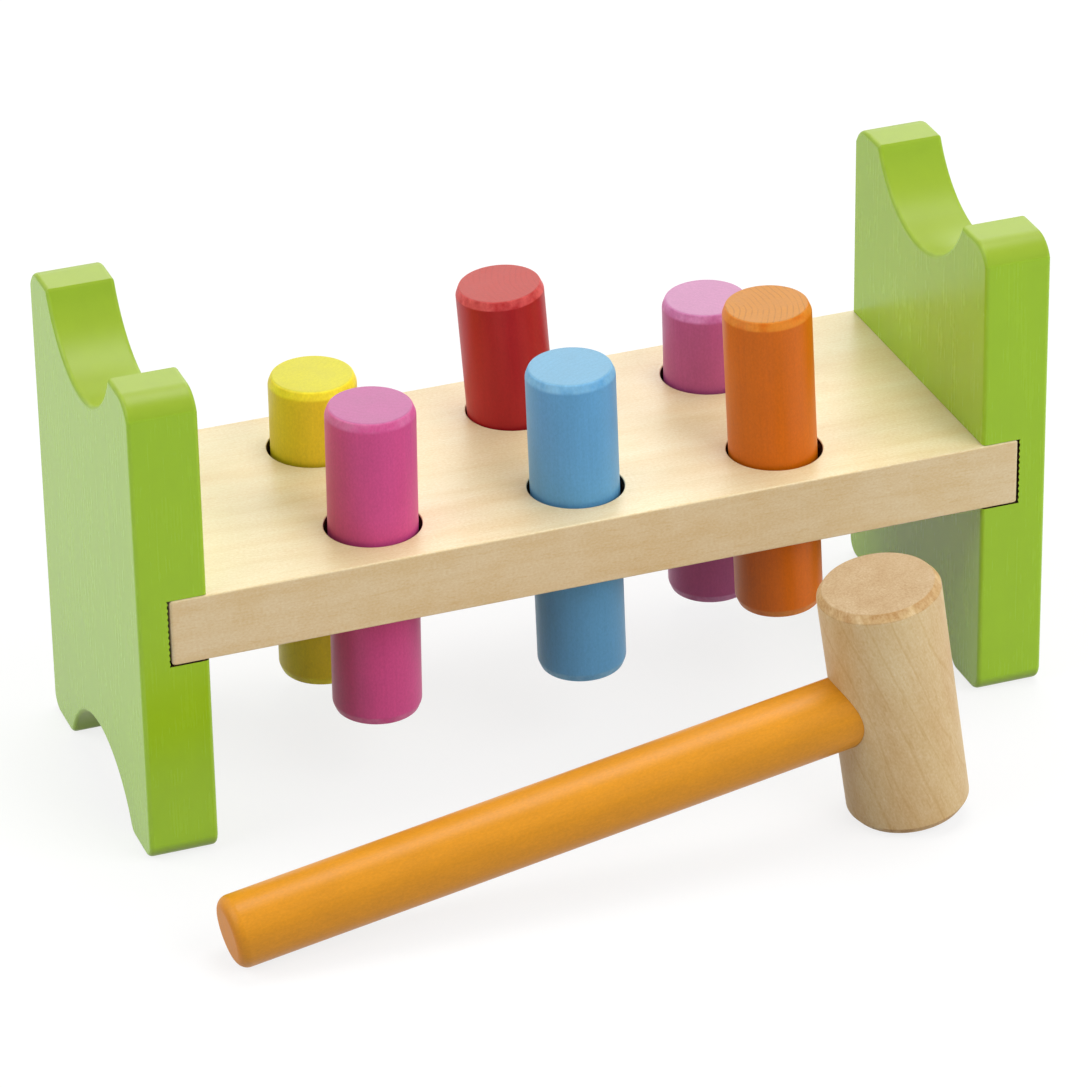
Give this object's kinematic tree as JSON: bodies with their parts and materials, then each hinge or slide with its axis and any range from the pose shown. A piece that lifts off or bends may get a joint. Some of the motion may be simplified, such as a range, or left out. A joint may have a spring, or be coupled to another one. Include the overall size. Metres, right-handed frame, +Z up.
{
  "type": "peg pounding bench",
  "caption": "Wooden pounding bench: a plank between two scalloped end panels holds painted pegs that a mallet drives down through rubber-gripped holes.",
  "frame": {"origin": "on the floor, at the bottom centre of the box that holds the bench and its mallet", "axes": "+X along the bench, from the yellow peg's end to the orange peg's end; +Y from the mallet in front to the bench behind it; +Z up"},
  "size_m": [0.245, 0.1477, 0.129],
  "materials": {
    "green_paint": "satin paint over wood",
    "natural_wood": "clear satin lacquer over natural wood",
    "amber_paint": "satin paint over wood",
    "yellow_paint": "satin paint over wood",
    "magenta_paint": "satin paint over wood",
    "red_paint": "satin paint over wood",
    "blue_paint": "satin paint over wood",
    "lilac_paint": "satin paint over wood",
    "orange_paint": "satin paint over wood",
    "grip_rubber": "matt"
  },
  "bodies": {
    "bench": {"end_panel_left": "green_paint", "end_panel_right": "green_paint", "bench_plank": "natural_wood", "grip_ring_yellow": "grip_rubber", "grip_ring_magenta": "grip_rubber", "grip_ring_red": "grip_rubber", "grip_ring_blue": "grip_rubber", "grip_ring_lilac": "grip_rubber", "grip_ring_orange": "grip_rubber"},
    "yellow_peg": {"peg_yellow": "yellow_paint"},
    "magenta_peg": {"peg_magenta": "magenta_paint"},
    "red_peg": {"peg_red": "red_paint"},
    "blue_peg": {"peg_blue": "blue_paint"},
    "lilac_peg": {"peg_lilac": "lilac_paint"},
    "orange_peg": {"peg_orange": "orange_paint"},
    "mallet": {"mallet_head": "natural_wood", "mallet_handle": "amber_paint"}
  },
  "joints": [
    {"name": "yellow_peg_slide", "type": "slide", "parent": "bench", "child": "yellow_peg", "axis": [0, 0, 1], "range_m": [-0.0081, 0.0474]},
    {"name": "magenta_peg_slide", "type": "slide", "parent": "bench", "child": "magenta_peg", "axis": [0.007, 0, 1], "range_m": [-0.02093, 0.0345]},
    {"name": "red_peg_slide", "type": "slide", "parent": "bench", "child": "red_peg", "axis": [-0.0698, 0, 0.9976], "range_m": [-0.02392, 0.03098]},
    {"name": "blue_peg_slide", "type": "slide", "parent": "bench", "child": "blue_peg", "axis": [-0.0262, 0, 0.9997], "range_m": [-0.02144, 0.0338]},
    {"name": "lilac_peg_slide", "type": "slide", "parent": "bench", "child": "lilac_peg", "axis": [-0.0175, 0, 0.9998], "range_m": [-0.00962, 0.0457]},
    {"name": "orange_peg_slide", "type": "slide", "parent": "bench", "child": "orange_peg", "axis": [-0.0454, 0, 0.999], "range_m": [-0.02879, 0.02629]},
    {"name": "mallet_lift", "type": "slide", "parent": "bench", "child": "mallet", "axis": [0, 0, 1], "range_m": [0, 0.15]}
  ]
}
